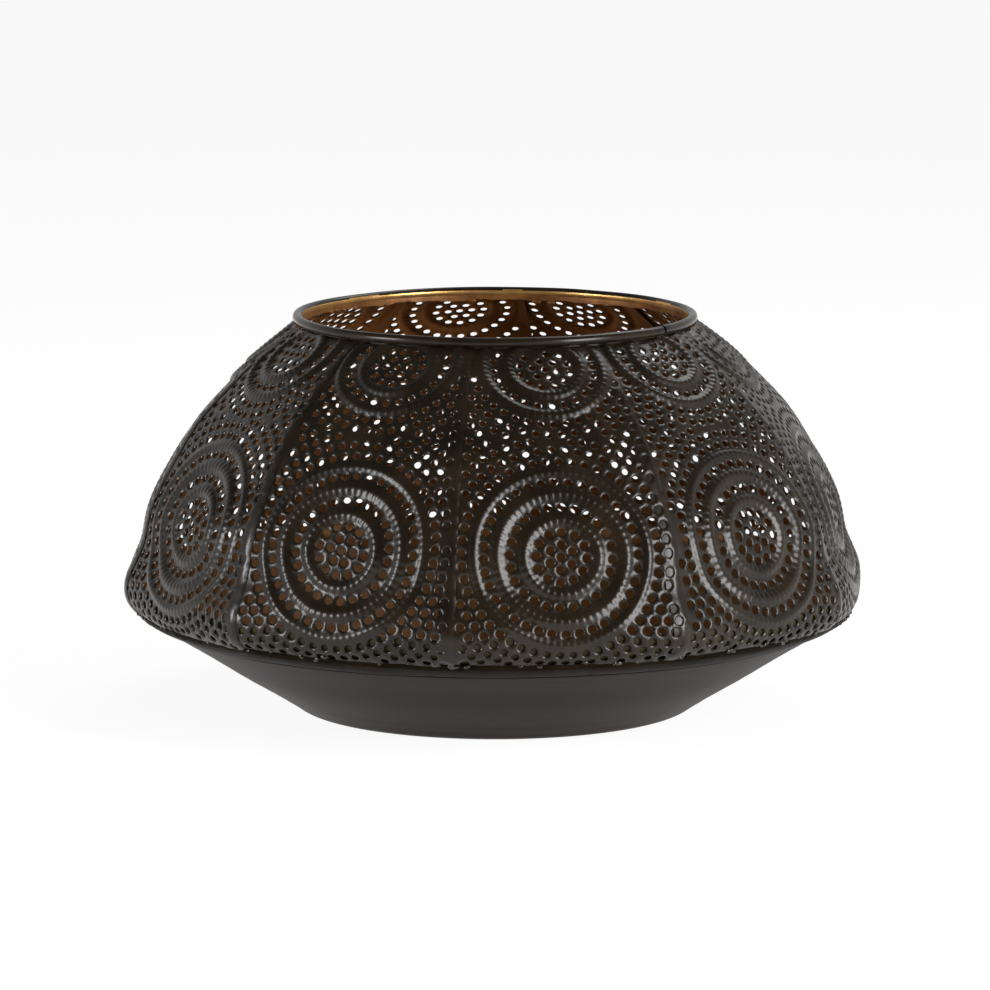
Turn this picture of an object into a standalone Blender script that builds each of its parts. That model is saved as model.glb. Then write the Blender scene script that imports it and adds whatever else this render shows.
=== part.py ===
"""Tealight holder: a ten-sided lantern bowl of pierced sheet-metal gores on a spun dish.

Units are metres, +Z is up, the front of the bowl faces -Y.  The origin is the centre of the
flat underside.  Azimuths are in degrees from the front, growing towards +X.
Touching sheets keep a small gap, so every piece is a closed body of its own.
"""
import bpy
import bmesh
from math import sin, cos, radians, pi, hypot

for old in list(bpy.data.objects):
    bpy.data.objects.remove(old, do_unlink=True)

MM = 0.001

# ---- driving dimensions ----------------------------------------------------------------
PANEL_COUNT = 10                # gores round the bowl
PITCH = 360.0 / PANEL_COUNT     # degrees per gore
SEAM_AZIMUTH = -6.0             # a gore's lapping edge, nearest the front
LAP = 2.6                       # degrees one gore lies over the next
SHEET = 0.8 * MM                # gore sheet thickness
GAP = 0.35 * MM                 # air left between touching sheets
FACET = 0.85                    # 0 is a round bowl, 1 has gores dead flat from seam to seam

# outline of the gores, hem first: radius at the seams and height, in millimetres
GORE_OUTLINE = [
    (149.0, 40.2), (154.0, 42.4), (158.5, 45.0), (162.3, 47.8), (165.2, 51.0), (167.1, 55.0),
    (167.4, 59.2), (166.2, 63.6), (163.4, 69.5), (159.8, 77.5), (155.7, 93.9), (145.7, 113.2), (133.1, 132.4),
    (113.9, 151.6), (98.0, 163.9), (88.2, 170.8),
]
GORE_ROWS = 20                  # facets along a gore

BEAD_RADIUS = 87.4 * MM         # rolled rim, centre line
BEAD_TUBE = 2.2 * MM
BEAD_HEIGHT = 174.0 * MM
BEAD_JOINT_AZIMUTH = 56.0       # where the two ends of the rolled rim meet
BEAD_JOINT_GAP = 0.7 * MM

COLLAR_OUTER = 86.4 * MM        # strip lining the mouth
COLLAR_SHEET = 0.8 * MM
COLLAR_TOP = 171.3 * MM
COLLAR_DEPTH = 2.2 * MM

HEM_WIDTH = 13.0 * MM           # strip covering the lower ends of the gores
HEM_SHEET = 0.8 * MM

FOOT_RADIUS = 86.0 * MM         # flat underside of the dish
DISH_SHEET = 1.2 * MM
DISH_EDGE_RADIUS = 148.0 * MM   # where the cone meets the hem
DISH_EDGE_HEIGHT = 38.6 * MM
DISH_LIP_ROWS = 3               # facets of the gores that the dish's lip stands up behind

CUP_INNER_RADIUS = 20.2 * MM    # pressed cup for a 38 mm tealight
CUP_WALL = 8.0 * MM
CUP_SHEET = 0.8 * MM
RIVET_RADIUS = 2.4 * MM
RIVET_HEAD_RADIUS = 4.5 * MM
RIVET_HEAD = 1.2 * MM

CAN_RADIUS = 19.0 * MM          # standard 38 mm tealight
CAN_HEIGHT = 16.0 * MM
CAN_FOIL = 0.5 * MM
WAX_RADIUS = 18.1 * MM
WAX_DEPTH = 12.5 * MM
WICK_RADIUS = 0.9 * MM
WICK_LENGTH = 9.0 * MM
WICK_TAB_RADIUS = 7.0 * MM
WICK_TAB = 0.6 * MM


# ---- shared geometry -------------------------------------------------------------------
def spot(radius, azimuth, height):
    """Point at a radius and azimuth (degrees from the front) round the upright axis."""
    a = radians(azimuth)
    return (radius * sin(a), -radius * cos(a), height)


def smooth(x):
    x = min(1.0, max(0.0, x))
    return x * x * (3.0 - 2.0 * x)


def outline_rows():
    """The gore outline as evenly spaced (radius, height, normal r, normal z, distance)."""
    fine = []
    pts = GORE_OUTLINE
    for i in range(len(pts) - 1):
        p0, p1 = pts[max(i - 1, 0)], pts[i]
        p2, p3 = pts[i + 1], pts[min(i + 2, len(pts) - 1)]
        for n in range(12):
            t = n / 12.0
            fine.append(tuple(
                MM * 0.5 * (2 * b + (c - a) * t + (2 * a - 5 * b + 4 * c - d) * t * t
                            + (3 * b - 3 * c + d - a) * t ** 3)
                for a, b, c, d in zip(p0, p1, p2, p3)))
    fine.append((pts[-1][0] * MM, pts[-1][1] * MM))
    run = [0.0]
    for (r0, z0), (r1, z1) in zip(fine, fine[1:]):
        run.append(run[-1] + hypot(r1 - r0, z1 - z0))
    return fine, run


FINE, RUN = outline_rows()
GORE_LENGTH = RUN[-1]


def outline_at(distance):
    """Radius, height and outward normal at a distance up the gore outline."""
    i = 0
    while i < len(RUN) - 2 and RUN[i + 1] < distance:
        i += 1
    (r0, z0), (r1, z1) = FINE[i], FINE[i + 1]
    step = RUN[i + 1] - RUN[i]
    t = (distance - RUN[i]) / step
    j, k = max(i - 3, 0), min(i + 4, len(FINE) - 1)
    dr, dz = FINE[k][0] - FINE[j][0], FINE[k][1] - FINE[j][1]
    n = hypot(dr, dz)
    return r0 + (r1 - r0) * t, z0 + (z1 - z0) * t, dz / n, -dr / n


def facet(azimuth, height):
    """Radius factor that flattens the bowl between seams, fading out at hem and rim."""
    corner = SEAM_AZIMUTH - LAP / 2
    off = (azimuth - corner) % PITCH - PITCH / 2
    amount = FACET * smooth((height - 0.041) / 0.018) * smooth((0.171 - height) / 0.030)
    flat = cos(radians(PITCH / 2)) / cos(radians(off))
    return 1.0 - amount * (1.0 - flat)


def bowl_point(azimuth, distance, offset):
    """Point of the bowl surface, pushed out along its normal by offset."""
    r, z, nr, nz = outline_at(distance)
    return spot(r * facet(azimuth, z) + nr * offset, azimuth, z + nz * offset)


# azimuth steps shared by every ring, so neighbouring pieces have matching facets
STEPS = [-18.0, -14.0, -9.5, -4.8, 0.0, 4.8, 9.5, 14.0]
RING = [SEAM_AZIMUTH - LAP / 2 + PITCH * k + PITCH / 2 + s
        for k in range(PANEL_COUNT) for s in STEPS]


def material(name, color, metallic, roughness, alpha=1.0):
    m = bpy.data.materials.new(name)
    m.use_nodes = True
    b = m.node_tree.nodes["Principled BSDF"]
    b.inputs["Base Color"].default_value = (*color, 1.0)
    b.inputs["Metallic"].default_value = metallic
    b.inputs["Roughness"].default_value = roughness
    b.inputs["Alpha"].default_value = alpha
    m.diffuse_color = (*color, alpha)
    return m


def finish(bm, name, mat, location=(0.0, 0.0, 0.0)):
    """Turn a bmesh into a named object whose origin is at location."""
    bmesh.ops.remove_doubles(bm, verts=bm.verts, dist=1e-7)
    bmesh.ops.recalc_face_normals(bm, faces=bm.faces)
    bmesh.ops.translate(bm, vec=[-c for c in location], verts=bm.verts)
    mesh = bpy.data.meshes.new(name)
    bm.to_mesh(mesh)
    bm.free()
    mesh.materials.append(mat)
    ob = bpy.data.objects.new(name, mesh)
    ob.location = location
    bpy.context.scene.collection.objects.link(ob)
    return ob


def skin(bm, sections, closed):
    """Quads between neighbouring loops of points; end loops are capped unless closed."""
    rings = [[bm.verts.new(p) for p in section] for section in sections]
    n = len(rings[0])
    pairs = list(zip(rings, rings[1:]))
    if closed:
        pairs.append((rings[-1], rings[0]))
    for a, b in pairs:
        for i in range(n):
            j = (i + 1) % n
            bm.faces.new((a[i], a[j], b[j], b[i]))
    if not closed:
        bm.faces.new(rings[0])
        bm.faces.new(list(reversed(rings[-1])))


def spun(name, mat, section, azimuths=RING, location=(0.0, 0.0, 0.0)):
    """Solid of revolution from a half section of (radius, height) that starts and ends
    on the axis."""
    bm = bmesh.new()
    low = bm.verts.new((0.0, 0.0, section[0][1]))
    high = bm.verts.new((0.0, 0.0, section[-1][1]))
    rings = [[bm.verts.new(spot(r, a, z)) for a in azimuths] for r, z in section[1:-1]]
    n = len(azimuths)
    for i in range(n):
        j = (i + 1) % n
        bm.faces.new((low, rings[0][i], rings[0][j]))
        bm.faces.new((high, rings[-1][j], rings[-1][i]))
        for a, b in zip(rings, rings[1:]):
            bm.faces.new((a[i], a[j], b[j], b[i]))
    return finish(bm, name, mat, location)


# ---- materials -------------------------------------------------------------------------
DARK_PAINT = (0.030, 0.026, 0.025)
GOLD_PAINT = (0.55, 0.33, 0.11)


# ---- side panels: ten pierced and embossed gores, each lapping over its right-hand one --
def side_panel(index):
    """A gore from hem to rim.  Its right edge is lifted by a sheet so it clears the next
    gore's left edge."""
    lift = (SHEET + GAP) * (PITCH + LAP) / PITCH
    left = SEAM_AZIMUTH - LAP + PITCH * index
    middle = left + (PITCH + LAP) / 2
    half = (PITCH + LAP) / 2
    steps = [-half] + STEPS + [PITCH / 2, half]
    sections = []
    for s in steps:
        azimuth = middle + s
        rise = lift * (s + half) / (2 * half)
        outer, inner = [], []
        for row in range(GORE_ROWS + 1):
            d = GORE_LENGTH * row / GORE_ROWS
            outer.append(bowl_point(azimuth, d, rise))
            inner.append(bowl_point(azimuth, d, rise - SHEET))
        sections.append(outer + inner[::-1])
    bm = bmesh.new()
    rows = [[bm.verts.new(p) for p in s] for s in sections]
    n = len(rows[0])
    for a, b in zip(rows, rows[1:]):
        for i in range(n):
            j = (i + 1) % n
            bm.faces.new((a[i], a[j], b[j], b[i]))
    for edge in (rows[0], rows[-1]):
        for i in range(GORE_ROWS):
            bm.faces.new((edge[i], edge[i + 1], edge[n - 2 - i], edge[n - 1 - i]))
    name = "side_panel_%02d" % (index + 1)
    return finish(bm, name, material(name, DARK_PAINT, 0.3, 0.35))


for index in range(PANEL_COUNT):
    side_panel(index)


# ---- rim bead: sheet rolled into a tube round the mouth, its ends butted together -------
def split_ring(name, mat, section, radius):
    """Ring with a narrow butt joint, from a section of (radius, height) points."""
    half_gap = 180.0 / pi * (BEAD_JOINT_GAP / 2) / radius
    start = BEAD_JOINT_AZIMUTH + half_gap
    end = BEAD_JOINT_AZIMUTH + 360.0 - half_gap
    count = 80
    bm = bmesh.new()
    sections = []
    for i in range(count + 1):
        azimuth = start + (end - start) * i / count
        sections.append([spot(r, azimuth, z) for r, z in section])
    skin(bm, sections, closed=False)
    return finish(bm, name, mat)


tube = [(BEAD_RADIUS + BEAD_TUBE * cos(2 * pi * i / 10), BEAD_HEIGHT + BEAD_TUBE * sin(2 * pi * i / 10))
        for i in range(10)]
split_ring("rim_bead", material("rim_bead", DARK_PAINT, 0.3, 0.30), tube, BEAD_RADIUS)


# ---- inner collar: plain strip lining the mouth under the bead -------------------------
strip = [(COLLAR_OUTER, COLLAR_TOP), (COLLAR_OUTER, COLLAR_TOP - COLLAR_DEPTH),
         (COLLAR_OUTER - COLLAR_SHEET, COLLAR_TOP - COLLAR_DEPTH),
         (COLLAR_OUTER - COLLAR_SHEET, COLLAR_TOP)]
split_ring("inner_collar", material("inner_collar", GOLD_PAINT, 0.8, 0.35), strip, COLLAR_OUTER)


# ---- hem band: strip wrapped over the lower ends of the gores --------------------------
def hem_band():
    inside = (SHEET + GAP) * (PITCH + LAP) / PITCH + GAP
    rows = [HEM_WIDTH * i / 4 for i in range(5)]
    sections = []
    for azimuth in RING:
        outer = [bowl_point(azimuth, d, inside + HEM_SHEET) for d in rows]
        inner = [bowl_point(azimuth, d, inside) for d in rows]
        sections.append(outer + inner[::-1])
    bm = bmesh.new()
    skin(bm, sections, closed=True)
    return finish(bm, "hem_band", material("hem_band", DARK_PAINT, 0.3, 0.35))


hem_band()


# ---- lower dish: spun cone with a flat floor; its lip stands inside the gores ----------
def lower_dish():
    tilt = hypot(DISH_EDGE_RADIUS - FOOT_RADIUS, DISH_EDGE_HEIGHT)
    nr = DISH_EDGE_HEIGHT / tilt            # outward normal of the cone
    nz = -(DISH_EDGE_RADIUS - FOOT_RADIUS) / tilt
    ease = 2.4 * MM                         # rounded corner between floor and cone
    outer = [(FOOT_RADIUS - ease, 0.0), (FOOT_RADIUS, 0.35 * MM), (FOOT_RADIUS + ease, 1.45 * MM),
             (FOOT_RADIUS + ease * 2, 3.1 * MM), (DISH_EDGE_RADIUS, DISH_EDGE_HEIGHT)]
    inner = [(DISH_EDGE_RADIUS - nr * DISH_SHEET - 0.6 * MM, DISH_EDGE_HEIGHT - nz * DISH_SHEET),
             (FOOT_RADIUS + ease, DISH_SHEET + 1.9 * MM), (FOOT_RADIUS - 1.0 * MM, DISH_SHEET + 0.2 * MM),
             (FOOT_RADIUS - 3.4 * MM, DISH_SHEET), (RIVET_RADIUS * 4, DISH_SHEET)]
    lip_rows = [GORE_LENGTH * i / GORE_ROWS for i in range(DISH_LIP_ROWS + 1)]
    lip_out = -SHEET - GAP * 1.6
    lip_in = lip_out - DISH_SHEET
    hole = RIVET_RADIUS + GAP
    bm = bmesh.new()
    sections = []
    for azimuth in RING:
        loop = [spot(hole, azimuth, 0.0)]
        loop += [spot(r, azimuth, z) for r, z in outer]
        loop += [bowl_point(azimuth, d, lip_out) for d in lip_rows]
        loop += [bowl_point(azimuth, d, lip_in) for d in lip_rows[:0:-1]]
        loop += [spot(r, azimuth, z) for r, z in inner]
        loop += [spot(hole, azimuth, DISH_SHEET)]
        sections.append(loop)
    skin(bm, sections, closed=True)
    return finish(bm, "lower_dish", material("lower_dish", DARK_PAINT, 0.3, 0.40))


lower_dish()


# ---- tealight cup: shallow pressed cup fixed to the middle of the floor ----------------
def tealight_cup():
    base = DISH_SHEET + GAP
    hole = RIVET_RADIUS + GAP
    outer = CUP_INNER_RADIUS + CUP_SHEET
    section = [(hole, base), (outer - 1.0 * MM, base), (outer, base + 1.0 * MM),
               (outer, base + CUP_WALL), (CUP_INNER_RADIUS, base + CUP_WALL),
               (CUP_INNER_RADIUS, base + 1.6 * MM), (CUP_INNER_RADIUS - 0.8 * MM, base + CUP_SHEET),
               (hole, base + CUP_SHEET)]
    azimuths = [360.0 * i / 48 for i in range(48)]
    bm = bmesh.new()
    skin(bm, [[spot(r, a, z) for r, z in section] for a in azimuths], closed=True)
    return finish(bm, "tealight_cup", material("tealight_cup", GOLD_PAINT, 0.8, 0.40))


tealight_cup()


# ---- cup rivet: holds the cup to the floor, heads inside the cup and under the floor ---
def cup_rivet():
    top = DISH_SHEET + GAP + CUP_SHEET + GAP
    azimuths = [360.0 * i / 24 for i in range(24)]
    section = [(0.0, 0.15 * MM), (RIVET_RADIUS, 0.15 * MM), (RIVET_RADIUS, top),
               (RIVET_HEAD_RADIUS, top), (RIVET_HEAD_RADIUS - 0.6 * MM, top + RIVET_HEAD * 0.7),
               (RIVET_HEAD_RADIUS * 0.5, top + RIVET_HEAD), (0.0, top + RIVET_HEAD)]
    return spun("cup_rivet", material("cup_rivet", (0.62, 0.60, 0.56), 1.0, 0.35), section, azimuths)


cup_rivet()


# ---- tealight: loose candle standing in the cup, lifted straight up and out ------------
CANDLE_BASE = DISH_SHEET + GAP + CUP_SHEET + GAP + RIVET_HEAD + GAP
CANDLE_ORIGIN = (0.0, 0.0, CANDLE_BASE)


def tealight():
    azimuths = [360.0 * i / 40 for i in range(40)]
    z0 = CANDLE_BASE
    rim = CAN_RADIUS + 0.4 * MM
    can = [(0.0, z0), (CAN_RADIUS - 0.8 * MM, z0), (CAN_RADIUS, z0 + 0.8 * MM),
           (CAN_RADIUS, z0 + CAN_HEIGHT - 0.6 * MM), (rim, z0 + CAN_HEIGHT - 0.3 * MM),
           (rim - 0.2 * MM, z0 + CAN_HEIGHT), (CAN_RADIUS - CAN_FOIL, z0 + CAN_HEIGHT),
           (CAN_RADIUS - CAN_FOIL, z0 + 1.4 * MM), (CAN_RADIUS - CAN_FOIL - 0.6 * MM, z0 + CAN_FOIL),
           (0.0, z0 + CAN_FOIL)]
    spun("candle_can", material("candle_can", (0.80, 0.80, 0.81), 1.0, 0.30), can, azimuths,
         CANDLE_ORIGIN)

    tab0 = z0 + CAN_FOIL + 0.3 * MM
    tab_top = tab0 + WICK_TAB
    stem = tab_top + 2.0 * MM
    bore = WICK_RADIUS + 0.3 * MM
    few = [360.0 * i / 20 for i in range(20)]
    tab = [(bore, tab0), (WICK_TAB_RADIUS, tab0), (WICK_TAB_RADIUS, tab_top),
           (bore + 0.9 * MM, tab_top), (bore + 0.5 * MM, stem), (bore, stem)]
    bm = bmesh.new()
    skin(bm, [[spot(r, a, z) for r, z in tab] for a in few], closed=True)
    finish(bm, "wick_tab", material("wick_tab", (0.70, 0.70, 0.71), 1.0, 0.40), CANDLE_ORIGIN)

    wax0 = tab_top + 0.3 * MM
    wax_top = z0 + CAN_FOIL + WAX_DEPTH
    clear = bore + 0.9 * MM + 0.3 * MM
    wax = [(clear, wax0), (WAX_RADIUS - 0.6 * MM, wax0), (WAX_RADIUS, wax0 + 0.6 * MM),
           (WAX_RADIUS, wax_top), (WAX_RADIUS * 0.6, wax_top - 0.4 * MM),
           (bore + 0.3 * MM, wax_top - 0.7 * MM), (bore + 0.1 * MM, stem + 0.4 * MM),
           (clear, stem + 0.3 * MM)]
    bm = bmesh.new()
    skin(bm, [[spot(r, a, z) for r, z in wax] for a in azimuths], closed=True)
    finish(bm, "candle_wax", material("candle_wax", (0.92, 0.90, 0.84), 0.0, 0.45), CANDLE_ORIGIN)

    wick0 = tab0
    wick_top = wax_top + WICK_LENGTH
    wick = [(0.0, wick0), (WICK_RADIUS, wick0), (WICK_RADIUS, wick_top - 0.5 * MM),
            (WICK_RADIUS * 0.5, wick_top), (0.0, wick_top)]
    spun("candle_wick", material("candle_wick", (0.85, 0.83, 0.78), 0.0, 0.90), wick,
         [360.0 * i / 12 for i in range(12)], CANDLE_ORIGIN)


tealight()
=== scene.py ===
"""Tealight holder: a lantern bowl of pierced and embossed sheet-metal gores on a spun dish.

Metres, +Z up, the front faces -Y.  Azimuths are degrees from the front, growing towards +X.
"""
from math import atan, cos, degrees, hypot, pi, radians, sin, tau
from random import Random

import bmesh
import bpy
from mathutils import Matrix, Vector, geometry, kdtree, noise


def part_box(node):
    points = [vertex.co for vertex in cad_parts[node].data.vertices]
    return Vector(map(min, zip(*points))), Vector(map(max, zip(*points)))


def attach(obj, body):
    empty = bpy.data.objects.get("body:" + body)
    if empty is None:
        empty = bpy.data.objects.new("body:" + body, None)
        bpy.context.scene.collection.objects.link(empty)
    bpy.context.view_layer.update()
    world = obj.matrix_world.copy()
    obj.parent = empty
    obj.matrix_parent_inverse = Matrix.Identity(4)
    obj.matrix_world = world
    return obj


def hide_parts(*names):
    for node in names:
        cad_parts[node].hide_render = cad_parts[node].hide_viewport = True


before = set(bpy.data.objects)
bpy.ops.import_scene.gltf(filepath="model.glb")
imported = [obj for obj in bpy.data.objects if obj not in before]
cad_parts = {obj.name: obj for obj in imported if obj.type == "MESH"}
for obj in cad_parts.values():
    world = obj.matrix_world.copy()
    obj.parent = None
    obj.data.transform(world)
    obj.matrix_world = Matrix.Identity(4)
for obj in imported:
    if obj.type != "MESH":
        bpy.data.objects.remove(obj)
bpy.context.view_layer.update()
MM = 0.001


# ======================================================================================
# Side panels.  Ten gores cut from punched steel sheet, struck with rosettes from outside,
# bent to the bowl's outline and painted near-black outside and gold inside.  Each one's
# right edge laps over its neighbour's left edge, and the laps are soldered.
# ======================================================================================
PITCH = 36.0                    # degrees from seam to seam
SEAM = -6.0                     # azimuth of the lapping edge nearest the front
LAP = 2.6                       # degrees of lap
FACET = 0.85                    # how flat a gore is across
GORE_SHEET = 0.55 * MM
STEP_UP = 0.68 * MM             # the right edge stands this much proud, over the next gore
FLAT_FROM, FLAT_TO = 0.041, 0.171       # heights between which the bowl is ten-sided
GORE_OUTLINE = [                # radius and height up a gore in millimetres, from the hem
    (149.0, 40.2), (154.0, 42.4), (158.5, 45.0), (162.3, 47.8), (165.2, 51.0), (167.1, 55.0),
    (167.4, 59.2), (166.2, 63.6), (163.4, 69.5), (159.8, 77.5), (155.7, 93.9), (145.7, 113.2),
    (133.1, 132.4), (113.9, 151.6), (98.0, 163.9), (88.2, 170.8),
]


def smooth_curve(points, steps=12):
    """Points of a smooth curve through the given (radius, height) points."""
    fine = []
    for i in range(len(points) - 1):
        p0, p1 = points[max(i - 1, 0)], points[i]
        p2, p3 = points[i + 1], points[min(i + 2, len(points) - 1)]
        for n in range(steps):
            t = n / steps
            fine.append(tuple(
                0.5 * (2 * b + (c - a) * t + (2 * a - 5 * b + 4 * c - d) * t * t
                       + (3 * b - 3 * c + d - a) * t ** 3)
                for a, b, c, d in zip(p0, p1, p2, p3)))
    fine.append(points[-1])
    return fine


outline = [(r * MM, z * MM) for r, z in smooth_curve(GORE_OUTLINE)]
outline_run = [0.0]
for (r0, z0), (r1, z1) in zip(outline, outline[1:]):
    outline_run.append(outline_run[-1] + hypot(r1 - r0, z1 - z0))
GORE_LENGTH = outline_run[-1]


def outline_at(distance):
    """Radius, height and outward normal at a distance up the gore from the hem."""
    low, high = 0, len(outline_run) - 2
    while low < high:
        middle = (low + high + 1) // 2
        if outline_run[middle] <= distance:
            low = middle
        else:
            high = middle - 1
    t = (distance - outline_run[low]) / (outline_run[low + 1] - outline_run[low])
    (r0, z0), (r1, z1) = outline[low], outline[low + 1]
    a, b = outline[max(low - 4, 0)], outline[min(low + 5, len(outline) - 1)]
    dr, dz = b[0] - a[0], b[1] - a[1]
    n = hypot(dr, dz)
    return r0 + (r1 - r0) * t, z0 + (z1 - z0) * t, dz / n, -dr / n


def ease(x):
    """0 below 0, 1 above 1 and a soft step between."""
    x = min(1.0, max(0.0, x))
    return x * x * (3.0 - 2.0 * x)


def facet(azimuth, height):
    """Radius factor that makes the bowl ten-sided with blunt corners, fading to round at
    hem and rim."""
    off = (azimuth - SEAM + LAP / 2) % PITCH - PITCH / 2
    amount = FACET * ease((height - FLAT_FROM) / 0.018) * ease((FLAT_TO - height) / 0.030)
    corner = 0.013 * (max(0.0, abs(off) - 8.5) / 9.5) ** 2
    return 1.0 - amount * (1.0 - cos(radians(PITCH / 2)) / cos(radians(off)) + corner)


def on_bowl(azimuth, distance, out):
    """Point of the bowl at an azimuth and a distance up from the hem, out along its normal."""
    r, z, nr, nz = outline_at(distance)
    radius = r * facet(azimuth, z) + nr * out
    a = radians(azimuth)
    return Vector((radius * sin(a), -radius * cos(a), z + nz * out))


def angle_of(x, y):
    """Clockwise angle of a direction from +X, in radians."""
    return Vector((x, y)).angle_signed(Vector((1.0, 0.0)), 0.0)


# The rosette tools.  Each ring of holes is (radius, holes); each embossed ring of short
# radial bars is (radius, half width, height, bars).  Millimetres on the flat blank.
LOWER_ROSETTE = {
    "centre": (0.0, 62.3),
    "holes": [(0.0, 1), (5.5, 6), (11.0, 12), (22.2, 24), (33.6, 36), (43.1, 48),
              (48.6, 54), (54.0, 60), (59.4, 66), (64.8, 72)],
    "bars": [(16.1, 3.3, 1.10, 34), (28.0, 3.6, 1.15, 57), (38.0, 2.5, 0.70, 80)],
    "reach": 38.5,
}
UPPER_ROSETTE = {
    "centre": (1.0, 155.9),
    "holes": [(0.0, 1), (5.5, 6), (11.0, 12), (22.3, 24), (32.4, 36), (38.0, 42), (43.4, 48)],
    "bars": [(16.1, 3.3, 1.05, 34), (27.3, 3.4, 1.10, 57)],
    "reach": 28.5,
}
HOLE_RADIUS = 1.84
HOLE_SIDES = 14
HOLE_SPACING = 4.95             # closest that two punched holes come
FIRST_ROW = 14.0                # lowest hole above the gore's lower end
PLAIN_LAP = 0.66                # share of the lapping width left plain
BAR_POINTS = 4                  # mesh points round the ring for each struck bar
SCATTER = 1.25                  # mesh points over plain sheet


def half_blank(y):
    """Half width of the flat blank at a height up it, in millimetres."""
    r, z, _, _ = outline_at(y * MM)
    half = radians(PITCH / 2 + LAP / 2)
    return r * facet(SEAM + PITCH / 2 - LAP / 2, z) * sin(half) / cos(half) / MM


def rosette_distance(rosette, x, y):
    """How far a point of the blank is from the middle of a rosette."""
    return hypot(x - rosette["centre"][0], y - rosette["centre"][1])


def punched_holes(rng, rosettes):
    """Centres and radii of a gore's holes on its flat blank."""
    length = GORE_LENGTH / MM
    holes = []

    def punch(x, y):
        """The punch went in less far where the sheet was already sloping."""
        size = HOLE_RADIUS * (1.0 - 0.17 * ease((y - 80.0) / 20.0)) * rng.uniform(0.94, 1.03)
        holes.append((x, y, size))

    def fits(x, y, spacing):
        """Clear of the hem, of the rim and of the two edges, which are left plain."""
        lap = radians(LAP) * outline_at(y * MM)[0] / MM
        if not (FIRST_ROW < y < length - 3.0
                and lap + 2.3 - half_blank(y) < x < half_blank(y) - PLAIN_LAP * lap):
            return False
        return all(hypot(x - a, y - b) > spacing for a, b, _ in holes)

    def own_side(rosette, x, y):
        """Whether the point is nearer to this rosette's tool than to the other's."""
        other = rosettes[1] if rosette is rosettes[0] else rosettes[0]
        return (rosette_distance(rosette, x, y) - rosette["reach"]
                < rosette_distance(other, x, y) - other["reach"] + 0.5)

    def on_bars(x, y):
        return any(abs(rosette_distance(rosette, x, y) - bar[0]) < bar[1] + 1.2
                   for rosette in rosettes for bar in rosette["bars"])

    for rosette in rosettes:
        turn = rng.uniform(0.0, tau)
        for ring, (radius, count) in enumerate(rosette["holes"]):
            start = turn if radius < 30 else pi / 2 + (0.5 if ring % 2 else 0.0) * tau / count
            for i in range(count):
                a = start + tau * i / count
                x = rosette["centre"][0] + radius * cos(a) + rng.gauss(0, 0.10)
                y = rosette["centre"][1] + radius * sin(a) + rng.gauss(0, 0.10)
                if own_side(rosette, x, y) and fits(x, y, HOLE_SPACING):
                    punch(x, y)
    # the odd places the rings leave free, along the edges and between the rosettes
    for spacing in (5.6, 5.2, HOLE_SPACING):
        y = FIRST_ROW + 0.1
        while y < length:
            x = -58.0
            while x < 58.0:
                if not on_bars(x, y) and fits(x, y, spacing):
                    punch(x, y)
                x += 0.7
            y += 0.7
    return holes


def embossing(x, y, rosettes):
    """Height of the struck rings above the sheet at a point of the blank: a rounded ridge
    with a row of short radial bars along its crest."""
    height = 0.0
    for rosette in rosettes:
        arm = Vector((x - rosette["centre"][0], y - rosette["centre"][1]))
        for radius, half, top, bars in rosette["bars"]:
            t = (arm.length - radius) / half
            if abs(t) < 1.0:
                bar = 0.5 + 0.5 * cos(bars * angle_of(arm.x, arm.y))
                height += top * (0.85 * cos(t * pi / 2) ** 1.5
                                 + 0.23 * bar * (1.0 - t * t) ** 0.8)
    return height * ease((half_blank(y) - abs(x) - 0.5) / 7.5)


def lap_edge(x, y, seed):
    """The lapping edge is dressed down on to the next gore and lumpy with solder."""
    near_edge = ease((x - half_blank(y) + 1.5) / 1.5)
    lump = max(0.0, noise.noise(Vector((y * 0.42, seed * 5.0, 0.0))) - 0.05)
    lump += 0.6 * max(0.0, noise.noise(Vector((y * 1.1, seed * 5.0, 3.0))) - 0.1)
    return near_edge * (1.1 * lump - 0.42)


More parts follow.
